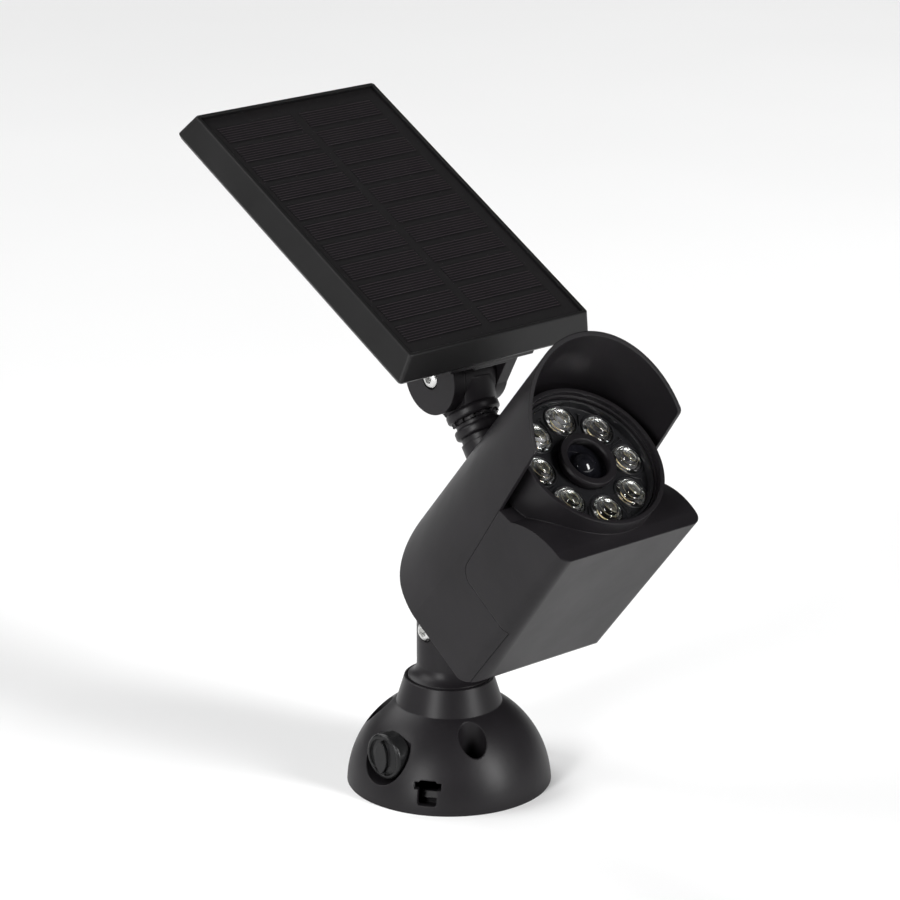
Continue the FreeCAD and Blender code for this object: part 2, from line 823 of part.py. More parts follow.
def head_solid(name, inset):
    """The head's outer form, or the same form moved inwards."""
    inset = as_size(inset)
    body = new_body(name + "Loft")
    front = head_section(body, D.ring_distance + D.visor_reach, D.belly_front_depth,
                         D.belly_front_half_width, D.belly_front_round, inset)
    rear = head_section(body, D.rear_distance + inset, D.belly_rear_depth,
                        D.belly_rear_half_width, D.belly_rear_round, inset)
    loft = body.newObject("PartDesign::AdditiveLoft", name + "LoftFeature")
    loft.Profile = front
    loft.Sections = [rear]
    loft.Ruled = True
    doc.recompute()
    top = above(D.hood_radius - D.hood_drop) - inset
    low = above(-(D.belly_rear_depth - 0.2)) + inset
    bend, heel = D.rear_corner_radius - inset, D.heel_radius - inset
    back = -(D.rear_distance + inset)
    profile = [(-180, -60), (back - heel, low), (back, low + heel), (back, top - bend), (back - bend, top),
               (-180, top)]
    side = prism(name + "Side", "YZ_Plane", profile, 120, {1: (heel, False), 3: (bend, False)})
    return common(name, [body, side])


def hood_region(name, gap):
    """Everything on the hood's side of the parting line, moved out by a gap."""
    gap = as_size(gap)
    bend_back, drop_back = D.parting_bend_back - gap, D.parting_drop_back - gap
    corner = ahead(D.visor_corner_forward)
    rise = D.visor_top_height - D.visor_corner_height
    trim = D.visor_corner_round * 0.62
    base = above(D.visor_corner_height - gap)
    points = [(corner + trim, base - trim * 0.09),
              (ahead(-bend_back), above(-(D.parting_bend_height + gap))),
              (ahead(-drop_back), above(-D.parting_drop_height)),
              (ahead(-drop_back), above(-(D.seam_depth + gap))),
              (-15, above(-(D.seam_depth + gap))), (-15, above(D.visor_top_height)),
              (corner - rise * D.visor_rake, above(D.visor_top_height)),
              (corner - trim * 0.36, base + trim * 0.93)]
    arcs = {1: (D.parting_bend_radius, True), 7: (D.visor_corner_round, False)}
    return prism(name, "YZ_Plane", points, 120, arcs)


def cheek_points(shift):
    """The front of the battery box from its top to below its floor, moved back by a shift."""
    return [(ahead(-(D.cheek_top_back + shift)), above(-D.cheek_top_depth)),
            (ahead(-(D.cheek_bend_back + shift)), above(-D.cheek_bend_depth)),
            (ahead(-(D.cheek_curve_back + shift)), above(-D.cheek_curve_depth)),
            (ahead(-(D.box_front_back + shift)), -60)]


def box_region():
    """Everything behind the front of the battery box."""
    front = cheek_points(as_size(0))
    top = (front[0][0], above(5))
    points = [top] + front + [(-15, -60), (-15, above(5))]
    return prism("BoxRegion", "YZ_Plane", points, 120, {2: (D.cheek_curve_radius, False)})


def box_front_strip():
    """A wall that follows the front of the battery box."""
    front = cheek_points(as_size(0))
    rear = cheek_points(D.shell_wall)
    arcs = {1: (D.cheek_curve_radius, False), 5: (D.cheek_curve_radius, True)}
    return prism("BoxFrontStrip", "YZ_Plane", front + rear[::-1], 120, arcs)


def arm_in_head():
    return HEAD_FRAME.inverse().multiply(ARM_FRAME)


def boss_places():
    """Where the four housing screws sit, as X and height above the barrel's axis."""
    return [(side * D.boss_spread, height) for side in (-1, 1)
            for height in (D.boss_top_height, -D.boss_low_depth)]


def make_hood(outer, inner):
    shell = common("HoodShell", [cut("HeadShellA", outer, [inner]), hood_region("HoodKeep", 0)])
    lug_points = [(-(D.rear_distance + 1), -D.lug_radius), (0, -D.lug_radius), (D.lug_radius, 0),
                  (0, D.lug_radius), (-(D.rear_distance + 1), D.lug_radius)]
    lug_arcs = {1: (D.lug_radius, False), 2: (D.lug_radius, False)}
    lug = prism("Lug", "YZ_Plane", lug_points, D.lug_half_width * 2, lug_arcs)
    collar = cylinder("ButtonCollar", D.button_collar_radius, 2.4,
                      (D.button_side, -(D.rear_distance + 1), above(D.button_height)), ALONG_Y)
    tools = [cylinder("LugBore", D.bolt_radius + D.bolt_clearance, 40, (-20, 0, 0), ALONG_X),
             cylinder("ButtonBore", D.button_radius + D.button_clearance, 10,
                      (D.button_side, -(D.rear_distance + 5), above(D.button_height)), ALONG_Y)]
    for x, height in boss_places():
        tools.append(cylinder("HoodScrewHole", D.small_screw_radius + 0.3, 10,
                              (x, -(D.rear_distance + 5), above(height)), ALONG_Y))
    socket_bore = cylinder("SocketBore", D.socket_tube_radius + 0.15, 40, (0, 0, -60))
    socket_bore.Placement = arm_in_head().multiply(socket_bore.Placement)
    node(cut("Hood", fuse("HoodBody", [shell, lug, collar]), tools + [socket_bore]), "hood", HEAD_FRAME)


def make_front_housing(outer, inner):
    clear = head_solid("HeadClear", D.shell_wall + 0.3)
    middle = head_solid("HeadMiddle", 1.0)
    hood_space = common("HoodSpace", [cut("HeadShellB", outer, [clear]), hood_region("HoodGrown", D.seam_gap)])
    shell = common("BoxShell", [cut("HeadShellC", outer, [inner]), box_region()])
    front_wall = common("BoxFront", [middle, box_front_strip()])
    floor_start = D.barrel_floor - D.barrel_floor_thickness
    slab = block("BulkheadSlab", (100, D.barrel_floor_thickness, 100), (-50, ahead(-floor_start), -50))
    bulkhead = common("Bulkhead", [middle, slab])
    axis = above(0)
    barrel = cylinder("Barrel", D.barrel_radius, floor_start + 1, (0, ahead(0), axis), ALONG_Y)
    posts = []
    length = D.ring_distance - floor_start - 1 - D.rear_distance - D.shell_wall - 0.2
    for x, height in boss_places():
        posts.append(cylinder("ScrewPost", D.boss_radius, length, (x, ahead(-(floor_start + 1)), above(height)),
                              ALONG_Y))
    solid = fuse("HousingSolid", [shell, front_wall, bulkhead, barrel] + posts)
    tools = [hood_space,
             cylinder("BarrelBore", D.barrel_bore, floor_start + 1, (0, ahead(1), axis), ALONG_Y),
             cylinder("BarrelRim", D.barrel_rim_bore, D.barrel_rim_depth + 1, (0, ahead(1), axis), ALONG_Y)]
    for x, height in boss_places():
        tools.append(cylinder("PostBore", D.boss_bore, 20, (x, -(D.rear_distance + 16), above(height)), ALONG_Y))
    node(cut("FrontHousing", solid, tools), "front_housing", HEAD_FRAME)


def make_arm_socket(outer):
    """A foot on the hood's crown with the lower ring, and a tube down through the hood."""
    half = D.ring_half_height
    split = -(D.swivel_split + D.split_gap / 2)
    bore = D.arm_pin_radius + 0.06
    lip = D.ring_round
    top, low = -(D.lower_ring_height - half), -(D.lower_ring_height + half)
    points = [(bore, -D.foot_bottom), (D.foot_radius, -D.foot_bottom), (D.foot_radius, -D.foot_top),
              (D.groove_radius, -D.foot_top), (D.groove_radius, low), (D.lower_ring_radius - lip, low),
              (D.lower_ring_radius, low + lip), (D.lower_ring_radius, top - lip),
              (D.lower_ring_radius - lip, top), (D.groove_radius, top), (D.groove_radius, split), (bore, split)]
    turned_foot = turned("SocketCollar", points, {5: (lip, False), 7: (lip, False)})
    key = centred_block("SocketKey", (3.2, 3, D.foot_top + low + 1), (0, -(D.foot_radius - 0.9)),
                        -(D.foot_top + 0.4))
    foot = fuse("SocketFoot", [turned_foot, key])
    foot.Placement = arm_in_head()
    tube_points = [(bore, -(D.foot_top + 1)), (D.socket_tube_radius, -(D.foot_top + 1)),
                   (D.socket_tube_radius, -D.socket_tube_bottom), (bore, -D.socket_tube_bottom)]
    tube = turned("SocketTube", tube_points)
    tube.Placement = arm_in_head()
    socket = fuse("ArmSocket", [cut("SocketOnHood", foot, [outer]), tube])
    node(socket, "arm_socket", HEAD_FRAME)


def make_socket_nut():
    frame = ARM_FRAME.multiply(Placement(Vector(0, 0, -43.6), Rotation()))
    nut("SocketNut", "socket_nut", D.socket_nut_radius, D.socket_nut_height, D.socket_tube_radius + 0.05,
        frame)


def make_housing_screws():
    screws = []
    for x, height in boss_places():
        y, z = -D.rear_distance, above(height)
        head = cone("ScrewHead", D.small_head_radius, D.small_head_radius * 0.7, D.small_head_height,
                    (x, y, z), ALONG_Y)
        shank = cylinder("ScrewShank", D.small_screw_radius, D.small_screw_length,
                         (x, y - D.small_screw_length + 0.5, z), ALONG_Y)
        screws.append(fuse("HousingScrew", [head, shank]))
    node(group("HousingScrews", screws), "housing_screws", HEAD_FRAME)


# ---------------------------------------------------------------- head contents

FACE_IN_HEAD = Placement(Vector(0, -D.ring_distance.value, -D.barrel_drop.value), Rotation(X_AXIS, 90))
FACE_FRAME = HEAD_FRAME.multiply(FACE_IN_HEAD)
EIGHT = 8


def make_reflector_plate():
    """A disc with eight lens holes, a centre hole and a raised ring round its rim."""
    back = D.plate_depth + D.reflector_thickness
    radius = D.barrel_bore - 0.3
    points = [(D.pir_foot_radius + 0.3, -back), (radius, -back), (radius, -(D.plate_depth - 3.4)),
              (radius - 0.9, -(D.plate_depth - 3.4)), (radius - 1.0, -D.plate_depth),
              (D.pir_foot_radius + 0.3, -D.plate_depth)]
    disc = turned("ReflectorDisc", points)
    hole = cylinder("LensHole", D.lens_radius + 0.3, 10, (0, 0, -(D.plate_depth + 5)))
    holes = circle_of(hole, EIGHT, D.lens_circle_radius, D.lens_phase)
    node(cut("ReflectorPlate", disc, holes), "reflector_plate", FACE_FRAME)


def make_led_lenses():
    """Eight clear domes, each with a hollow foot over its LED."""
    foot, shoulder = -D.lens_foot_depth, -D.plate_depth - 0.2
    pocket_top = foot + D.lens_pocket_depth
    points = [(0, pocket_top), (D.lens_pocket_radius, pocket_top), (D.lens_pocket_radius, foot),
              (D.lens_radius, foot), (D.lens_radius, shoulder), (0, -(D.plate_depth - D.lens_crown))]
    lens = turned("Lens", points, {4: (cap_radius(D.lens_radius, D.lens_crown + 0.2), False)})
    lenses = circle_of(lens, EIGHT, D.lens_circle_radius, D.lens_phase)
    node(group("LedLenses", lenses), "led_lenses", FACE_FRAME)


def make_led_chips():
    size = D.led_size
    chip = block("LedChip", (size, size, D.led_height), (-size / 2, -size / 2, -D.led_board_depth))
    chips = circle_of(chip, EIGHT, D.lens_circle_radius, D.lens_phase)
    node(group("LedChips", chips), "led_chips", FACE_FRAME)


def make_led_board():
    board = cylinder("LedBoardDisc", D.led_board_radius, D.board_thickness,
                     (0, 0, -(D.led_board_depth + D.board_thickness)))
    connector = block("LedConnector", (8, 5, 3.4), (-4, 10, -(D.led_board_depth + D.board_thickness + 3.3)))
    node(fuse("LedBoard", [board, connector]), "led_board", FACE_FRAME)


def make_pir_parts():
    """The sensor's flared rim, its dark dome and the can behind the dome."""
    foot = -(D.led_board_depth - 0.2)
    rim = -D.pir_rim_depth
    points = [(D.pir_foot_radius - 0.9, foot), (D.pir_foot_radius, foot), (D.pir_foot_radius, -D.plate_depth),
              (D.pir_rim_radius, rim - 1.2), (D.pir_rim_radius - 0.5, rim), (D.pir_opening_radius, rim),
              (D.pir_opening_radius - 0.5, rim - 1), (D.pir_foot_radius - 0.9, -D.plate_depth + 0.6)]
    node(turned("PirBezel", points), "pir_bezel", FACE_FRAME)
    flange, crown = -D.plate_depth + 0.4, -D.plate_depth + D.pir_lens_height
    inner = D.pir_lens_radius - 0.9
    points = [(inner, flange - 1), (D.pir_foot_radius - 1.2, flange - 1), (D.pir_foot_radius - 1.2, flange),
              (D.pir_lens_radius, flange), (0, crown), (0, crown - 0.9)]
    outer_cap = cap_radius(D.pir_lens_radius, crown - flange)
    inner_cap = cap_radius(inner, crown - flange + 0.1)
    lens = turned("PirLens", points, {3: (outer_cap, False), 5: (inner_cap, True)})
    node(lens, "pir_lens", FACE_FRAME)
    can = cylinder("PirCan", D.pir_sensor_radius, D.pir_sensor_height, (0, 0, -D.led_board_depth + 0.1))
    node(can, "pir_sensor", FACE_FRAME)


def make_battery():
    """An 18650 cell in a trough with a spring at the front and a plate at the rear."""
    start = ahead(-D.cell_start)
    axis = above(-D.cell_depth)
    cell = cylinder("CellCan", D.cell_radius, D.cell_length, (0, start, axis), ALONG_Y)
    node(cell, "battery_cell", HEAD_FRAME)
    half = D.cell_radius + D.holder_wall
    trough = block("Trough", (half * 2, D.cell_length + 1.2, D.cell_radius + 2),
                   (-half, start - 0.6, axis - D.cell_radius - 2))
    hollow = cylinder("TroughHollow", D.cell_radius + 0.3, 90, (0, start - 10, axis), ALONG_Y)
    node(cut("BatteryHolder", trough, [hollow]), "battery_holder", HEAD_FRAME)
    spring = cone("ContactSpring", 5.5, 3, 2.6, (0, start - 2.8, axis), ALONG_Y)
    plate = block("ContactPlate", (12, 0.6, 12), (-6, start + D.cell_length + 0.2, axis - 6))
    node(group("BatteryContacts", [spring, plate]), "battery_contacts", HEAD_FRAME)


def make_control_board():
    top = above(-D.control_depth)
    start = ahead(-D.control_back) - 0
    half = D.control_width / 2
    parts = [block("ControlPcb", (D.control_width, D.control_length, D.board_thickness),
                   (-half, start, top - D.board_thickness)),
             block("ChargerChip", (5, 6, 1.6), (-12, start + 8, top)),
             block("TimerChip", (6, 9, 1.6), (-2, start + 16, top)),
             block("PanelSocket", (8, 6, 6), (-4, start + 2, top)),
             cylinder("Inductor", 4, 4.5, (12, start + 9, top)),
             cylinder("Capacitor", 3.2, 8, (-13, start + 26, top))]
    node(fuse("ControlBoard", parts), "control_board", HEAD_FRAME)


def make_mode_button():
    """A rubber push button and the switch behind it."""
    x, z = D.button_side, above(D.button_height)
    face = -(D.rear_distance - D.button_proud)
    stem = cylinder("ButtonStem", D.button_radius, 6.4, (x, face - 6.4, z), ALONG_Y)
    flange = cylinder("ButtonFlange", D.button_radius + 1.2, 1, (x, -(D.rear_distance + D.shell_wall + 1.3), z),
                      ALONG_Y)
    node(fuse("ModeButton", [stem, flange]), "mode_button", HEAD_FRAME)
    size = D.switch_size
    back = face - 6.4 - 1.4
    switch = block("SwitchCase", (size, 3.6, size), (x - size / 2, back - 3.6, z - size / 2))
    card = block("SwitchCard", (14, 1.6, 17), (x - 7, back - 5.2, above(-D.control_depth) + 0.1))
    node(fuse("ButtonSwitch", [switch, card]), "button_switch", HEAD_FRAME)


# ---------------------------------------------------------------- arm

def make_arm_knuckle():
    """A round knuckle, a cone and the upper ring on a hollow pin."""
    half_width = D.knuckle_half_width
    barrel = cylinder("KnuckleBarrel", D.knuckle_radius, half_width * 2, (-half_width, 0, 0), ALONG_X)
    taper = cone("KnuckleCone", D.cone_bottom_radius, D.cone_top_radius, D.cone_bottom - D.cone_top,
                 (0, 0, -D.cone_bottom))
    slab = block("KnuckleSlab", (half_width * 2, 60, 60), (-half_width, -30, -30))
    upper = fuse("KnuckleTop", [barrel, common("KnuckleTaper", [taper, slab])])
    half = D.ring_half_height
    split = -(D.swivel_split - D.split_gap / 2)
    lip, neck = D.ring_round, D.groove_radius
    ring_radius, low = D.upper_ring_radius, -(D.upper_ring_height + half)
    points = [(0, -D.arm_pin_bottom), (D.arm_pin_radius, -D.arm_pin_bottom), (D.arm_pin_radius, split),
              (neck, split), (neck, low), (ring_radius - lip, low), (ring_radius, low + lip),
              (ring_radius, -D.cone_bottom - lip), (ring_radius - lip, -D.cone_bottom),
              (neck - 1, -D.cone_bottom), (neck - 1, -D.cone_top), (0, -D.cone_top)]
    lower = turned("ArmPin", points, {5: (lip, False), 7: (lip, False)})
    tooth = centred_block("SwivelTooth", (2.2, 1.6, low - split + 0.4), (neck, 0), split)
    teeth = circle_of(tooth, 12, Size(0), Size(15))
    bore = cylinder("ArmBore", D.arm_bore_radius, 40, (0, 0, -50))
    cross = cylinder("HingeBore", D.bolt_radius + D.bolt_clearance, 40, (-20, 0, 0), ALONG_X)
    ring = turned("PinGroove", [(D.arm_pin_radius - 0.8, -(D.socket_tube_bottom + 1.5)), (9, -(D.socket_tube_bottom + 1.5)),
                                (9, -(D.socket_tube_bottom + 0.2)), (D.arm_pin_radius - 0.8, -(D.socket_tube_bottom + 0.2))])
    node(cut("ArmKnuckle", fuse("ArmBody", [upper, lower] + teeth), [bore, cross, ring]), "arm_knuckle", ARM_FRAME)


def make_arm_clip():
    inner = D.arm_pin_radius - 0.75
    high, low = -(D.socket_tube_bottom + 0.35), -(D.socket_tube_bottom + 1.35)
    ring = turned("ArmClipRing", [(inner, low), (7.4, low), (7.4, high), (inner, high)])
    mouth = block("ArmClipMouth", (20, 6, 10), (0, -3, low - 4))
    node(cut("ArmClip", ring, [mouth]), "arm_clip", ARM_FRAME)


# ---------------------------------------------------------------- panel

def panel_profile(name, plane, centre, span):
    """One side view of the panel's frame: a short skirt and leaning sides."""
    top_half = span / 2
    wide_half = top_half + D.panel_flare
    low_half = wide_half - D.panel_skirt * 0.6
    bottom = D.panel_top - D.panel_thickness
    points = [(centre - low_half, bottom), (centre + low_half, bottom),
              (centre + wide_half, bottom + D.panel_skirt), (centre + top_half, D.panel_top),
              (centre - top_half, D.panel_top), (centre - wide_half, bottom + D.panel_skirt)]
    return prism(name, plane, points, 400)


def panel_block(name, length, width, bottom, height):
    """A plate centred under or in the panel."""
    return block(name, (width, length, height), (-width / 2, D.panel_centre - length / 2, bottom))


def make_panel_frame():
    long_view = panel_profile("PanelLongView", "YZ_Plane", D.panel_centre, D.panel_length)
    end_view = panel_profile("PanelEndView", "XZ_Plane", as_size(0), D.panel_width)
    sharp = common("PanelSolid", [long_view, end_view])
    rounded = soften("PanelCorners", sharp, D.panel_corner_round, lambda edge: edge.BoundBox.ZLength > 0.5)
    top = D.panel_top.value - 0.1
    solid = soften("PanelEdges", rounded, D.panel_edge_round, lambda edge: edge.BoundBox.ZMin > top)
    recess_depth = D.glass_step + D.glass_thickness + D.cell_sheet_thickness
    length, width = D.panel_length - D.panel_ridge * 2, D.panel_width - D.panel_ridge * 2
    recess = panel_block("GlassRecess", length, width, D.panel_top - recess_depth, 10)
    bottom = D.panel_top - D.panel_thickness
    cavity_height = D.panel_thickness - recess_depth - 2
    cavity = panel_block("PanelCavity", D.panel_length - D.frame_wall * 2, D.panel_width - D.frame_wall * 2,
                         bottom - 1, cavity_height + 1)
    node(cut("PanelFrame", solid, [recess, cavity]), "panel_frame", PANEL_FRAME)


def make_solar_stack():
    """Glass over 22 cells over a backing sheet, all in the frame's recess."""
    length = D.panel_length - D.panel_ridge * 2 - 0.4
    width = D.panel_width - D.panel_ridge * 2 - 0.4
    glass_bottom = D.panel_top - D.glass_step - D.glass_thickness
    node(panel_block("SolarGlass", length, width, glass_bottom, D.glass_thickness), "solar_glass", PANEL_FRAME)
    cell_bottom = glass_bottom - D.cell_plate_thickness
    first = D.panel_centre - D.cell_pitch * 5 - D.cell_plate_length / 2
    right = D.cell_offset + D.cell_gap / 2
    cells = []
    for column in range(11):
        y = first + D.cell_pitch * column
        for x in (right, right - D.cell_gap - D.cell_plate_width):
            cells.append(block("SolarCell", (D.cell_plate_width, D.cell_plate_length, D.cell_plate_thickness),
                               (x, y, cell_bottom)))
    node(group("SolarCells", cells), "solar_cells", PANEL_FRAME)
    sheet_height = D.cell_sheet_thickness - D.cell_plate_thickness
    node(panel_block("Backsheet", length, width, cell_bottom - sheet_height, sheet_height),
         "solar_backsheet", PANEL_FRAME)


def make_panel_back():
    bottom = D.panel_top - D.panel_thickness
    plate = panel_block("PanelBack", D.panel_length - D.frame_wall * 2 - 0.4,
                        D.panel_width - D.frame_wall * 2 - 0.4, bottom, D.back_thickness)
    boss = centred_block("BackBoss", (D.pad_half_width * 2, D.pad_back - D.pad_front - 6, 3),
                         (0, (D.pad_back + D.pad_front) / 2 + 3), bottom + D.back_thickness - 0.1)
    tools = [cylinder("BackScrewHole", D.small_screw_radius + 0.06, 20, (x, y, bottom - 5))
             for x, y in bracket_screw_places()]
    node(cut("PanelBackPlate", fuse("BackSolid", [plate, boss]), tools), "panel_back", PANEL_FRAME)


def bracket_screw_places():
    x = D.pad_half_width - 3.6
    return [(side * x, y) for side in (-1, 1) for y in (D.pad_front + 8, D.pad_back - 4)]


def make_panel_bracket():
    """Two ears for the hinge, joined by a pedestal under a wide pad."""
    bottom = D.panel_top - D.panel_thickness
    pad_bottom = bottom - D.pad_thickness
    thickness = D.ear_outer - D.ear_inner
    parts = []
    depth = D.knuckle_radius - 0.4
    for name, x, front in (("Left", -D.ear_outer, D.left_web_front), ("Right", D.ear_inner, -depth)):
        parts.append(cylinder(name + "Ear", D.knuckle_radius + 0.1, thickness, (x, 0, 0), ALONG_X))
        parts.append(block(name + "Web", (thickness, depth - front, pad_bottom + 0.5), (x, front, 0)))
    pedestal_bottom = D.knuckle_radius + 0.6
    parts.append(block("Pedestal", (D.ear_outer + D.ear_inner, depth * 2, pad_bottom - pedestal_bottom + 0.4),
                       (-D.ear_inner, -depth, pedestal_bottom)))
    parts.append(block("BracketPad", (D.pad_half_width * 2, D.pad_back - D.pad_front, D.pad_thickness),
                       (-D.pad_half_width, D.pad_front, pad_bottom)))
    tools = [cylinder("EarBore", D.bolt_radius + 0.02, 60, (-30, 0, 0), ALONG_X),
             cylinder("EarHeadRecess", D.bolt_recess_radius, 10, (-(D.hinge_bolt_seat + 10), 0, 0), ALONG_X),
             cylinder("EarNutRecess", D.bolt_recess_radius, 10, (D.hinge_bolt_seat, 0, 0), ALONG_X)]
    for x, y in bracket_screw_places():
        tools.append(cylinder("PadScrewHole", D.small_screw_radius + 0.2, 20, (x, y, 10)))
    node(cut("PanelBracket", fuse("BracketSolid", parts), tools), "panel_bracket", PANEL_FRAME)


def make_bracket_screws():
    pad_bottom = D.panel_top - D.panel_thickness - D.pad_thickness
    screws = []
    for x, y in bracket_screw_places():
        head = cone("PadScrewHead", D.small_head_radius * 0.7, D.small_head_radius, D.small_head_height,
                    (x, y, pad_bottom - D.small_head_height))
        shank = cylinder("PadScrewShank", D.small_screw_radius, 6.2, (x, y, pad_bottom - 0.5))
        screws.append(fuse("BracketScrew", [head, shank]))
    node(group("BracketScrews", screws), "bracket_screws", PANEL_FRAME)


# ---------------------------------------------------------------- build

make_base_dome()
make_bottom_plate()
make_lock_knob()
make_lock_clip()
make_neck_post()
make_pan_clip()
TILT_FRAME = Placement(Vector(0, 0, D.tilt_height.value), Rotation())
side_bolt("Tilt", ("tilt_bolt", "tilt_nut"), D.neck_bolt_seat, TILT_FRAME)
head_outer = head_solid("HeadOuter", 0)
head_inner = head_solid("HeadInner", D.shell_wall)
make_hood(head_outer, head_inner)
make_front_housing(head_outer, head_inner)
make_arm_socket(head_outer)
make_socket_nut()
make_housing_screws()
make_reflector_plate()
make_led_lenses()
make_led_chips()
make_led_board()
make_pir_parts()
make_battery()
make_control_board()
make_mode_button()
make_arm_knuckle()
make_arm_clip()
make_panel_frame()
make_solar_stack()
make_panel_back()
make_panel_bracket()
make_bracket_screws()
side_bolt("Hinge", ("hinge_bolt", "hinge_nut"), D.hinge_bolt_seat, PANEL_FRAME)

doc.recompute()
problems = []
for obj in doc.Objects:
    if "Invalid" in obj.State or "Error" in obj.State:
        problems.append("%s is %s" % (obj.Name, obj.State))
for obj in nodes:
    if obj.Shape.isNull() or not obj.Shape.isValid():
        problems.append("%s has a bad shape" % obj.Label)
if problems:
    raise RuntimeError("; ".join(problems))

os.makedirs("parts", exist_ok=True)
for obj in nodes:
    obj.Shape.exportStep("parts/%s.step" % obj.Label)
    box = obj.Shape.BoundBox
    print("%-18s %6d mm3  solids %d  x %.1f..%.1f y %.1f..%.1f z %.1f..%.1f" % (
        obj.Label, obj.Shape.Volume, len(obj.Shape.Solids), box.XMin, box.XMax, box.YMin, box.YMax,
        box.ZMin, box.ZMax))
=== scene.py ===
"""Looks for the solar garden light: materials, fine surface pieces, studio, and camera."""
import json
import math

import bmesh
import bpy
from mathutils import Matrix, Vector


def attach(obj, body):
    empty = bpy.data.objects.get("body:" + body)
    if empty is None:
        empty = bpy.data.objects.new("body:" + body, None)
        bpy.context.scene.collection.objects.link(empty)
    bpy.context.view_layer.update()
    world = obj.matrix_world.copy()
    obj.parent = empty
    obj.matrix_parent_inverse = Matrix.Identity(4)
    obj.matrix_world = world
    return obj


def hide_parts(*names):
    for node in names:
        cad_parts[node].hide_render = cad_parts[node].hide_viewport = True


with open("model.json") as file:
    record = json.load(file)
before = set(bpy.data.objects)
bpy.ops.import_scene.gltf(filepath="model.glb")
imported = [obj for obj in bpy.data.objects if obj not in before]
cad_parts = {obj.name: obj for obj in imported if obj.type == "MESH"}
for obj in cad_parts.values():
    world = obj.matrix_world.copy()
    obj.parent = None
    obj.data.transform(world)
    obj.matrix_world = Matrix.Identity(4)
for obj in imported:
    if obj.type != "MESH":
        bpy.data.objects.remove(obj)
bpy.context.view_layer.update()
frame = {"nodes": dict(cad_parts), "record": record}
NODES = frame["nodes"]
MM = 0.001

# where the lamp's face points, and the centre of its ring
HEAD_ELEVATION = math.radians(49.76)
RING_CENTRE = Vector((0, -0.08372, 0.16119))

# the printed fingers, at even steps along the leaning panel
PANEL_LEAN = math.radians(28.38)
CELL_ROW_PITCH = 12.56 * MM
FINGERS_PER_ROW = 9
FINGER_PITCH = CELL_ROW_PITCH / FINGERS_PER_ROW
FINGER_HALF_WIDTH = 0.11  # as a share of the pitch
HINGE_ALONG_PANEL = 80.24 * MM
FIRST_FINGER = HINGE_ALONG_PANEL - 4.19 * MM
FINGER_SHIFT = 0.5 - FIRST_FINGER / FINGER_PITCH
CELL_SINK = 0.1 * MM

# the lamp's LEDs and the ribs between them, in millimetres
LED_COUNT = 8
LED_CIRCLE = 21.4
LED_PHASE = math.radians(-7)
RIB_CIRCLE = 22.6
RIB_FOOT = -7.1
RIB_HEIGHT = 0.55
RIB_BARS = ((5.6, 0.5, 0.0), (0.5, 2.2, 2.7))  # reach outward, width, shift outward
RIB_ROUND = 0.12

# the studio, in metres and degrees
FLOOR_SIZE = 12
DARK_DIRECTION = (0.63, 0.13, 0.77)
LOOK_AT = (0, 0, 0.12)
CAMERA_PLACE = (-0.95330, -1.08223, 0.61294)
CAMERA_DOWN = 18.05
CAMERA_TURN = -41.39
FOCAL_LENGTH = 149.68  # in millimetres


# ---------------------------------------------------------------- node helpers

class Graph:
    """A material's node tree with short ways to add and join nodes."""

    def __init__(self, name):
        self.material = bpy.data.materials.new(name)
        self.material.use_nodes = True
        self.tree = self.material.node_tree
        self.shader = self.tree.nodes["Principled BSDF"]

    def add(self, kind, **settings):
        node = self.tree.nodes.new(kind)
        for key, value in settings.items():
            setattr(node, key, value)
        return node

    def join(self, source, target):
        self.tree.links.new(source, target)

    def set(self, **values):
        """Sets the shader's own sockets, named with underscores for spaces."""
        for key, value in values.items():
            self.shader.inputs[key.replace("_", " ")].default_value = value

    def coordinates(self, scale):
        place = self.add("ShaderNodeTexCoord")
        mapping = self.add("ShaderNodeMapping")
        mapping.inputs["Scale"].default_value = scale
        self.join(place.outputs["Object"], mapping.inputs["Vector"])
        return mapping.outputs["Vector"]

    def noise(self, scale, detail, roughness=0.5, stretch=(1, 1, 1)):
        node = self.add("ShaderNodeTexNoise")
        node.inputs["Scale"].default_value = scale
        node.inputs["Detail"].default_value = detail
        node.inputs["Roughness"].default_value = roughness
        self.join(self.coordinates(stretch), node.inputs["Vector"])
        return node.outputs["Fac"]

    def ramp(self, source, stops):
        """Maps a 0..1 value through colour stops given as (place, colour)."""
        node = self.add("ShaderNodeValToRGB")
        elements = node.color_ramp.elements
        while len(elements) < len(stops):
            elements.new(0.5)
        for element, (place, colour) in zip(elements, stops):
            element.position = place
            element.color = colour if len(colour) == 4 else (*colour, 1)
        self.join(source, node.inputs["Fac"])
        return node.outputs["Color"]

    def span(self, source, low, high, start=0.0, end=1.0):
        """Maps a value from start..end to low..high."""
        node = self.add("ShaderNodeMapRange")
        for name, value in zip(("From Min", "From Max", "To Min", "To Max"), (start, end, low, high)):
            node.inputs[name].default_value = value
        self.join(source, node.inputs["Value"])
        return node.outputs["Result"]

    def bump(self, source, strength, distance, under=None):
        node = self.add("ShaderNodeBump")
        node.inputs["Strength"].default_value = strength
        node.inputs["Distance"].default_value = distance
        self.join(source, node.inputs["Height"])
        if under is not None:
            self.join(under, node.inputs["Normal"])
        return node.outputs["Normal"]

    def math(self, operation, *values):
        """A math node on sockets or numbers."""
        node = self.add("ShaderNodeMath", operation=operation)
        for socket, value in zip(node.inputs, values):
            if isinstance(value, (int, float)):
                socket.default_value = value
            else:
                self.join(value, socket)
        return node.outputs["Value"]

    def finish_normal(self, normal):
        self.join(normal, self.shader.inputs["Normal"])


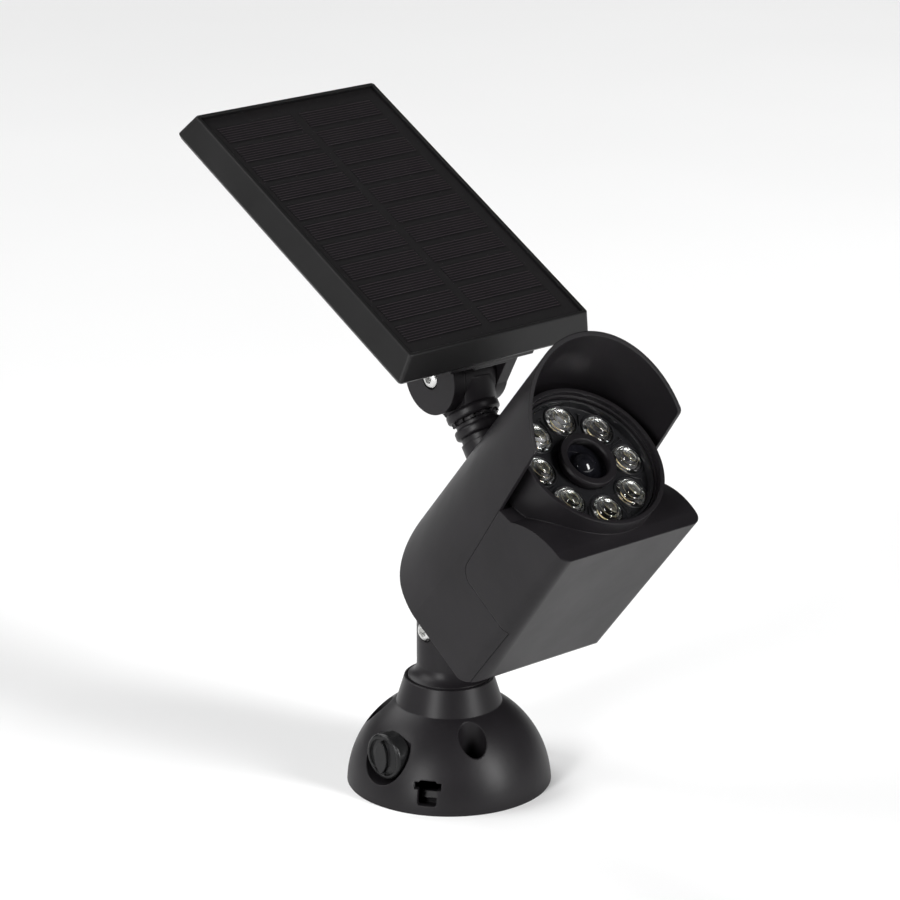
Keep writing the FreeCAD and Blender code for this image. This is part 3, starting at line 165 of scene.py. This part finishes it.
def moulded_plastic(name, shade, gloss, grain=1.0, texture=1.0, edge=0.0007):
    """Black injection-moulded plastic: fine grain, uneven gloss, handling marks and soft edges."""
    graph = Graph(name)
    mottle = graph.noise(scale=38, detail=4)
    darker = tuple(channel * 0.86 for channel in shade)
    lighter = tuple(channel * 1.18 for channel in shade)
    graph.join(graph.ramp(mottle, [(0.35, darker), (0.7, lighter)]), graph.shader.inputs["Base Color"])
    wipe = graph.noise(scale=16, detail=5, roughness=0.6, stretch=(1, 1, 0.4))
    uneven = graph.span(wipe, low=gloss - 0.05, high=gloss + 0.07, start=0.3, end=0.7)
    graph.join(uneven, graph.shader.inputs["Roughness"])
    fine = graph.noise(scale=2400 * grain, detail=2)
    waves = graph.noise(scale=90, detail=2)
    rounded = graph.add("ShaderNodeBevel", samples=4)
    rounded.inputs["Radius"].default_value = edge
    normal = graph.bump(waves, strength=0.1, distance=0.0006, under=rounded.outputs["Normal"])
    graph.finish_normal(graph.bump(fine, strength=0.3 * texture, distance=0.00006, under=normal))
    graph.set(Specular_IOR_Level=0.2)
    return graph.material


def machined_steel(name, shade, rough):
    """Bright steel with turning marks and a few stains."""
    graph = Graph(name)
    stain = graph.noise(scale=260, detail=4)
    dull = tuple(channel * 0.8 for channel in shade)
    graph.join(graph.ramp(stain, [(0.3, dull), (0.65, shade)]), graph.shader.inputs["Base Color"])
    marks = graph.noise(scale=900, detail=3, roughness=0.6, stretch=(1, 0.2, 1))
    uneven = graph.span(marks, low=rough - 0.06, high=rough + 0.12, start=0.3, end=0.7)
    graph.join(uneven, graph.shader.inputs["Roughness"])
    graph.finish_normal(graph.bump(marks, strength=0.25, distance=0.00005))
    graph.set(Metallic=1.0)
    return graph.material


def clear_plastic(name, tint, rough):
    """Water-clear moulded optic with faint flow marks."""
    graph = Graph(name)
    flow = graph.noise(scale=300, detail=2)
    uneven = graph.span(flow, low=rough, high=rough + 0.05, start=0.3, end=0.7)
    graph.join(uneven, graph.shader.inputs["Roughness"])
    ripple = graph.noise(scale=420, detail=1)
    graph.finish_normal(graph.bump(ripple, strength=0.04, distance=0.00005))
    graph.set(Base_Color=(*tint, 1), Transmission_Weight=1.0, IOR=1.49)
    return graph.material


def laminate(name, shade, rough, cover):
    """A thin clear sheet over the cells: a faint haze and a soft, slightly rippled gloss."""
    graph = Graph(name)
    haze = graph.noise(scale=60, detail=3)
    uneven = graph.span(haze, low=rough, high=rough + 0.1, start=0.3, end=0.7)
    graph.join(uneven, graph.shader.inputs["Roughness"])
    graph.finish_normal(graph.bump(haze, strength=0.05, distance=0.0001))
    graph.set(Base_Color=(*shade, 1), Alpha=cover)
    return graph.material


def solid_colour(name, shade, rough, mottle=0.12, relief=0.15):
    """A plain painted or printed surface with slight mottling."""
    graph = Graph(name)
    cloud = graph.noise(scale=500, detail=3)
    low = tuple(channel * (1 - mottle) for channel in shade)
    high = tuple(min(channel * (1 + mottle), 1) for channel in shade)
    graph.join(graph.ramp(cloud, [(0.3, low), (0.7, high)]), graph.shader.inputs["Base Color"])
    graph.join(graph.span(cloud, low=rough - 0.05, high=rough + 0.05), graph.shader.inputs["Roughness"])
    graph.finish_normal(graph.bump(cloud, strength=relief, distance=0.00005))
    return graph.material


def solar_cell():
    """Near-black silicon with fine printed fingers across each cell."""
    graph = Graph("solar_cell")
    place = graph.add("ShaderNodeTexCoord")
    lean = graph.add("ShaderNodeMapping")
    lean.inputs["Rotation"].default_value = (-PANEL_LEAN, 0, 0)
    graph.join(place.outputs["Object"], lean.inputs["Vector"])
    parts = graph.add("ShaderNodeSeparateXYZ")
    graph.join(lean.outputs["Vector"], parts.inputs["Vector"])
    along = graph.math("MULTIPLY_ADD", parts.outputs["Y"], 1 / FINGER_PITCH, FINGER_SHIFT)
    phase = graph.math("FRACT", along)
    from_line = graph.math("ABSOLUTE", graph.math("SUBTRACT", phase, 0.5))
    line = graph.math("LESS_THAN", from_line, FINGER_HALF_WIDTH)
    cloud = graph.noise(scale=120, detail=4)
    silicon = graph.ramp(cloud, [(0.3, (0.0035, 0.0035, 0.0045)), (0.7, (0.0055, 0.0052, 0.0062))])
    mix = graph.add("ShaderNodeMix", data_type="RGBA")
    graph.join(line, mix.inputs["Factor"])
    graph.join(silicon, mix.inputs["A"])
    mix.inputs["B"].default_value = (0.105, 0.09, 0.097, 1)
    graph.join(mix.outputs["Result"], graph.shader.inputs["Base Color"])
    graph.join(graph.span(cloud, low=0.3, high=0.42), graph.shader.inputs["Roughness"])
    graph.finish_normal(graph.bump(line, strength=0.2, distance=0.00004))
    return graph.material


BLACK = moulded_plastic("black_plastic", (0.0088, 0.0078, 0.009), 0.4)
COLLAR = moulded_plastic("knob_plastic", (0.009, 0.009, 0.0094), 0.26, 1.2, 0.5)
FRAME_BLACK = moulded_plastic("frame_plastic", (0.0085, 0.0083, 0.0085), 0.4)
REFLECTOR = moulded_plastic("reflector", (0.012, 0.012, 0.013), 0.26, 1.0, 0.4)
STEEL = machined_steel("steel", (0.72, 0.72, 0.71), 0.24)
SILVER = machined_steel("lamp_cup", (0.86, 0.86, 0.84), 0.16)
LENS = clear_plastic("clear_lens", (0.98, 0.99, 0.99), 0.02)
CHIP = solid_colour("led_phosphor", (0.8, 0.66, 0.36), 0.5)
BOARD = solid_colour("circuit_board", (0.6, 0.61, 0.6), 0.4)
DARK_LENS = solid_colour("dark_lens", (0.006, 0.006, 0.008), 0.07, 0.3, 0.02)
WRAP = solid_colour("cell_wrap", (0.03, 0.1, 0.35), 0.35)
RUBBER = moulded_plastic("rubber", (0.02, 0.02, 0.02), 0.6, 1.0, 1.4)
GLASS = laminate("panel_glass", (0.006, 0.0052, 0.006), 0.16, 0.2)
CELL = solar_cell()
BACKSHEET = solid_colour("backsheet", (0.0052, 0.0044, 0.005), 0.7, 0.05, 0.02)

BY_SLOT = {"black_plastic": BLACK, "knob_plastic": COLLAR, "frame_plastic": FRAME_BLACK,
           "reflector": REFLECTOR, "steel": STEEL, "clear_lens": LENS, "led_phosphor": CHIP,
           "circuit_board": BOARD, "dark_lens": DARK_LENS, "cell_wrap": WRAP, "rubber": RUBBER,
           "panel_glass": GLASS, "solar_cell": CELL, "backsheet": BACKSHEET}

for part in frame["record"]["subparts"]:
    node = NODES[part["node"]]
    node.data.materials.clear()
    node.data.materials.append(BY_SLOT[part["material_slot"]])


def sink_cells():
    """Draws the cells in by a hair, so their tops don't share a plane with the sheet over them."""
    gap = NODES["solar_cells"].modifiers.new("gap", "DISPLACE")
    gap.strength = -CELL_SINK
    gap.mid_level = 0


sink_cells()


# ---------------------------------------------------------------- lamp face

def face_matrix():
    """The frame of the lamp's face: origin at the ring's centre, Z out of the face."""
    upward = Vector((0, math.sin(HEAD_ELEVATION), math.cos(HEAD_ELEVATION)))
    outward = Vector((0, -math.cos(HEAD_ELEVATION), math.sin(HEAD_ELEVATION)))
    turn = Matrix((Vector((1, 0, 0)), upward, outward)).transposed()
    return Matrix.Translation(RING_CENTRE) @ turn.to_4x4()


FACE = face_matrix()


def finish_piece(name, mesh, material, body):
    """Makes an object from a mesh that is already in the row frame."""
    for polygon in mesh.polygons:
        polygon.use_smooth = True
    mesh.materials.append(material)
    piece = bpy.data.objects.new(name, mesh)
    bpy.context.scene.collection.objects.link(piece)
    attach(piece, body)
    return piece


def lathe(bm, profile, centre, segments=40):
    """Turns a closed outline of (radius, height), in millimetres, about an upright line on the face."""
    rings = []
    for radius, height in profile:
        if radius == 0:
            rings.append([bm.verts.new(FACE @ (Vector((centre[0], centre[1], height)) * MM))])
            continue
        ring = []
        for step in range(segments):
            angle = 2 * math.pi * step / segments
            across = centre[0] + radius * math.cos(angle)
            up = centre[1] + radius * math.sin(angle)
            spot = Vector((across, up, height))
            ring.append(bm.verts.new(FACE @ (spot * MM)))
        rings.append(ring)
    closing = [] if len(rings[0]) == 1 else [(rings[-1], rings[0])]
    for lower, upper in list(zip(rings, rings[1:])) + closing:
        for step in range(segments):
            after = (step + 1) % segments
            corners = [lower[step % len(lower)], lower[after % len(lower)],
                       upper[after % len(upper)], upper[step % len(upper)]]
            distinct = list(dict.fromkeys(corners))
            if len(distinct) > 2:
                bm.faces.new(distinct)


def led_places(offset=0.0, radius=LED_CIRCLE):
    """Centres and angles of the LEDs, or of points between them, in the face's frame."""
    step = 2 * math.pi / LED_COUNT
    angles = [LED_PHASE + step * (index + offset) for index in range(LED_COUNT)]
    return [(radius * math.cos(angle), radius * math.sin(angle), angle) for angle in angles]


def lamp_pieces(name, profile, material):
    """One turned form repeated at every LED."""
    bm = bmesh.new()
    for x, y, _ in led_places():
        lathe(bm, profile, (x, y))
    bmesh.ops.recalc_face_normals(bm, faces=bm.faces)
    mesh = bpy.data.meshes.new(name)
    bm.to_mesh(mesh)
    bm.free()
    piece = finish_piece(name, mesh, material, "head")
    split = piece.modifiers.new("crease", "EDGE_SPLIT")
    split.split_angle = math.radians(30)
    return piece


def build_lenses():
    """Clear lenses with a stepped, ringed crown over a hollow foot."""
    profile = [(0, -8.4), (3.8, -8.5), (3.9, -10.0), (6.3, -10.0), (6.3, -7.2), (6.05, -6.5), (5.65, -6.1),
               (5.25, -5.95), (4.95, -6.3), (4.6, -5.6), (4.1, -5.05), (3.65, -4.8), (3.35, -5.2),
               (2.95, -4.4), (2.2, -3.75), (1.2, -3.35), (0, -3.2)]
    lenses = lamp_pieces("lamp_lenses", profile, LENS)
    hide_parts("led_lenses")


def build_cups():
    """Bright reflector cups, a phosphor patch in each, and a dark lip round each lens."""
    cup = [(3.75, -10.55), (6.56, -10.55), (6.56, -7.3), (6.4, -7.3), (6.4, -10.1), (4.0, -10.2)]
    lamp_pieces("lamp_cups", cup, SILVER)
    phosphor = [(0, -9.72), (2.1, -9.72), (2.0, -9.4), (1.3, -9.2), (0, -9.12)]
    lamp_pieces("lamp_phosphor", phosphor, CHIP)
    lip = [(6.64, -7.1), (7.5, -7.1), (7.35, -6.65), (7.0, -6.5), (6.72, -6.62)]
    lamp_pieces("lens_lips", lip, REFLECTOR)


def build_ribs():
    """Thin moulded ribs on the plate between the LEDs, each with a short foot."""
    bm = bmesh.new()
    for x, y, angle in led_places(0.5, RIB_CIRCLE):
        for reach, width, shift in RIB_BARS:
            out = Vector((math.cos(angle), math.sin(angle), 0))
            across = Vector((-math.sin(angle), math.cos(angle), 0))
            corners = [(-1, -1), (1, -1), (1, 1), (-1, 1)]
            low = [Vector((x, y, RIB_FOOT)) + out * (shift + a * reach / 2) + across * (b * width / 2)
                   for a, b in corners]
            base = [bm.verts.new(FACE @ (spot * MM)) for spot in low]
            top = [bm.verts.new(FACE @ ((spot + Vector((0, 0, RIB_HEIGHT))) * MM)) for spot in low]
            bm.faces.new(top)
            bm.faces.new(base[::-1])
            for step in range(4):
                after = (step + 1) % 4
                bm.faces.new((base[step], base[after], top[after], top[step]))
    bmesh.ops.recalc_face_normals(bm, faces=bm.faces)
    mesh = bpy.data.meshes.new("plate_ribs")
    bm.to_mesh(mesh)
    bm.free()
    ribs = finish_piece("plate_ribs", mesh, REFLECTOR, "head")
    soft = ribs.modifiers.new("soft", "BEVEL")
    soft.width = RIB_ROUND * MM
    soft.segments = 2


build_lenses()
build_cups()
build_ribs()


# ---------------------------------------------------------------- studio

def area_light(name, place, size, power):
    """A rectangular light aimed at the part."""
    data = bpy.data.lights.new(name, "AREA")
    data.shape = "RECTANGLE"
    data.size, data.size_y = size
    data.energy = power
    light = bpy.data.objects.new(name, data)
    bpy.context.scene.collection.objects.link(light)
    light.location = place
    light.rotation_euler = (Vector(LOOK_AT) - Vector(place)).to_track_quat("-Z", "Y").to_euler()


def sun_light(name, direction, strength, spread):
    """A broad even light from one direction."""
    data = bpy.data.lights.new(name, "SUN")
    data.energy = strength
    data.angle = math.radians(spread)
    light = bpy.data.objects.new(name, data)
    bpy.context.scene.collection.objects.link(light)
    light.rotation_euler = Vector(direction).to_track_quat("Z", "Y").to_euler()


def build_floor():
    """Plain white paper."""
    bpy.ops.mesh.primitive_plane_add(size=FLOOR_SIZE, location=(0, 0, 0))
    floor = bpy.context.object
    floor.name = "floor"
    graph = Graph("floor_paper")
    cloud = graph.noise(scale=3, detail=2)
    paper = graph.ramp(cloud, [(0.3, (0.9, 0.9, 0.9)), (0.7, (0.92, 0.92, 0.92))])
    graph.join(paper, graph.shader.inputs["Base Color"])
    graph.set(Roughness=0.9, Specular_IOR_Level=0.2)
    floor.data.materials.append(graph.material)


def build_world():
    """A dim, even grey surround that fades to black high on the right, where the panel mirrors it."""
    world = bpy.data.worlds.new("studio")
    bpy.context.scene.world = world
    world.use_nodes = True
    tree = world.node_tree
    background = tree.nodes["Background"]
    place = tree.nodes.new("ShaderNodeTexCoord")
    towards = tree.nodes.new("ShaderNodeVectorMath")
    towards.operation = "DOT_PRODUCT"
    towards.inputs[1].default_value = DARK_DIRECTION
    tree.links.new(place.outputs["Generated"], towards.inputs[0])
    level = tree.nodes.new("ShaderNodeMapRange")
    level.interpolation_type = "SMOOTHSTEP"
    for name, value in (("From Min", 0.6), ("From Max", 0.93), ("To Min", 1.0), ("To Max", 0.05)):
        level.inputs[name].default_value = value
    tree.links.new(towards.outputs["Value"], level.inputs["Value"])
    tree.links.new(level.outputs["Result"], background.inputs["Strength"])


def build_camera():
    """The camera at the front left, looking slightly down."""
    data = bpy.data.cameras.new("camera")
    data.sensor_width = 36
    data.lens = FOCAL_LENGTH
    data.clip_end = 50
    camera = bpy.data.objects.new("camera", data)
    camera.location = CAMERA_PLACE
    camera.rotation_euler = (math.radians(90 - CAMERA_DOWN), 0, math.radians(CAMERA_TURN))
    bpy.context.scene.collection.objects.link(camera)
    bpy.context.scene.camera = camera


build_floor()
build_world()
build_camera()
sun_light("back_left", (-0.66, 0.5, 0.56), 1.6, 35)
sun_light("back_top", (0.1, 0.7, 0.7), 1.5, 45)
area_light("front_right", (0.9, -3.2, 1.5), (0.9, 2.2), 140)
area_light("side_left", (-3.4, -0.9, 1.2), (0.7, 2.2), 100)
bpy.context.scene.view_settings.view_transform = "Standard"
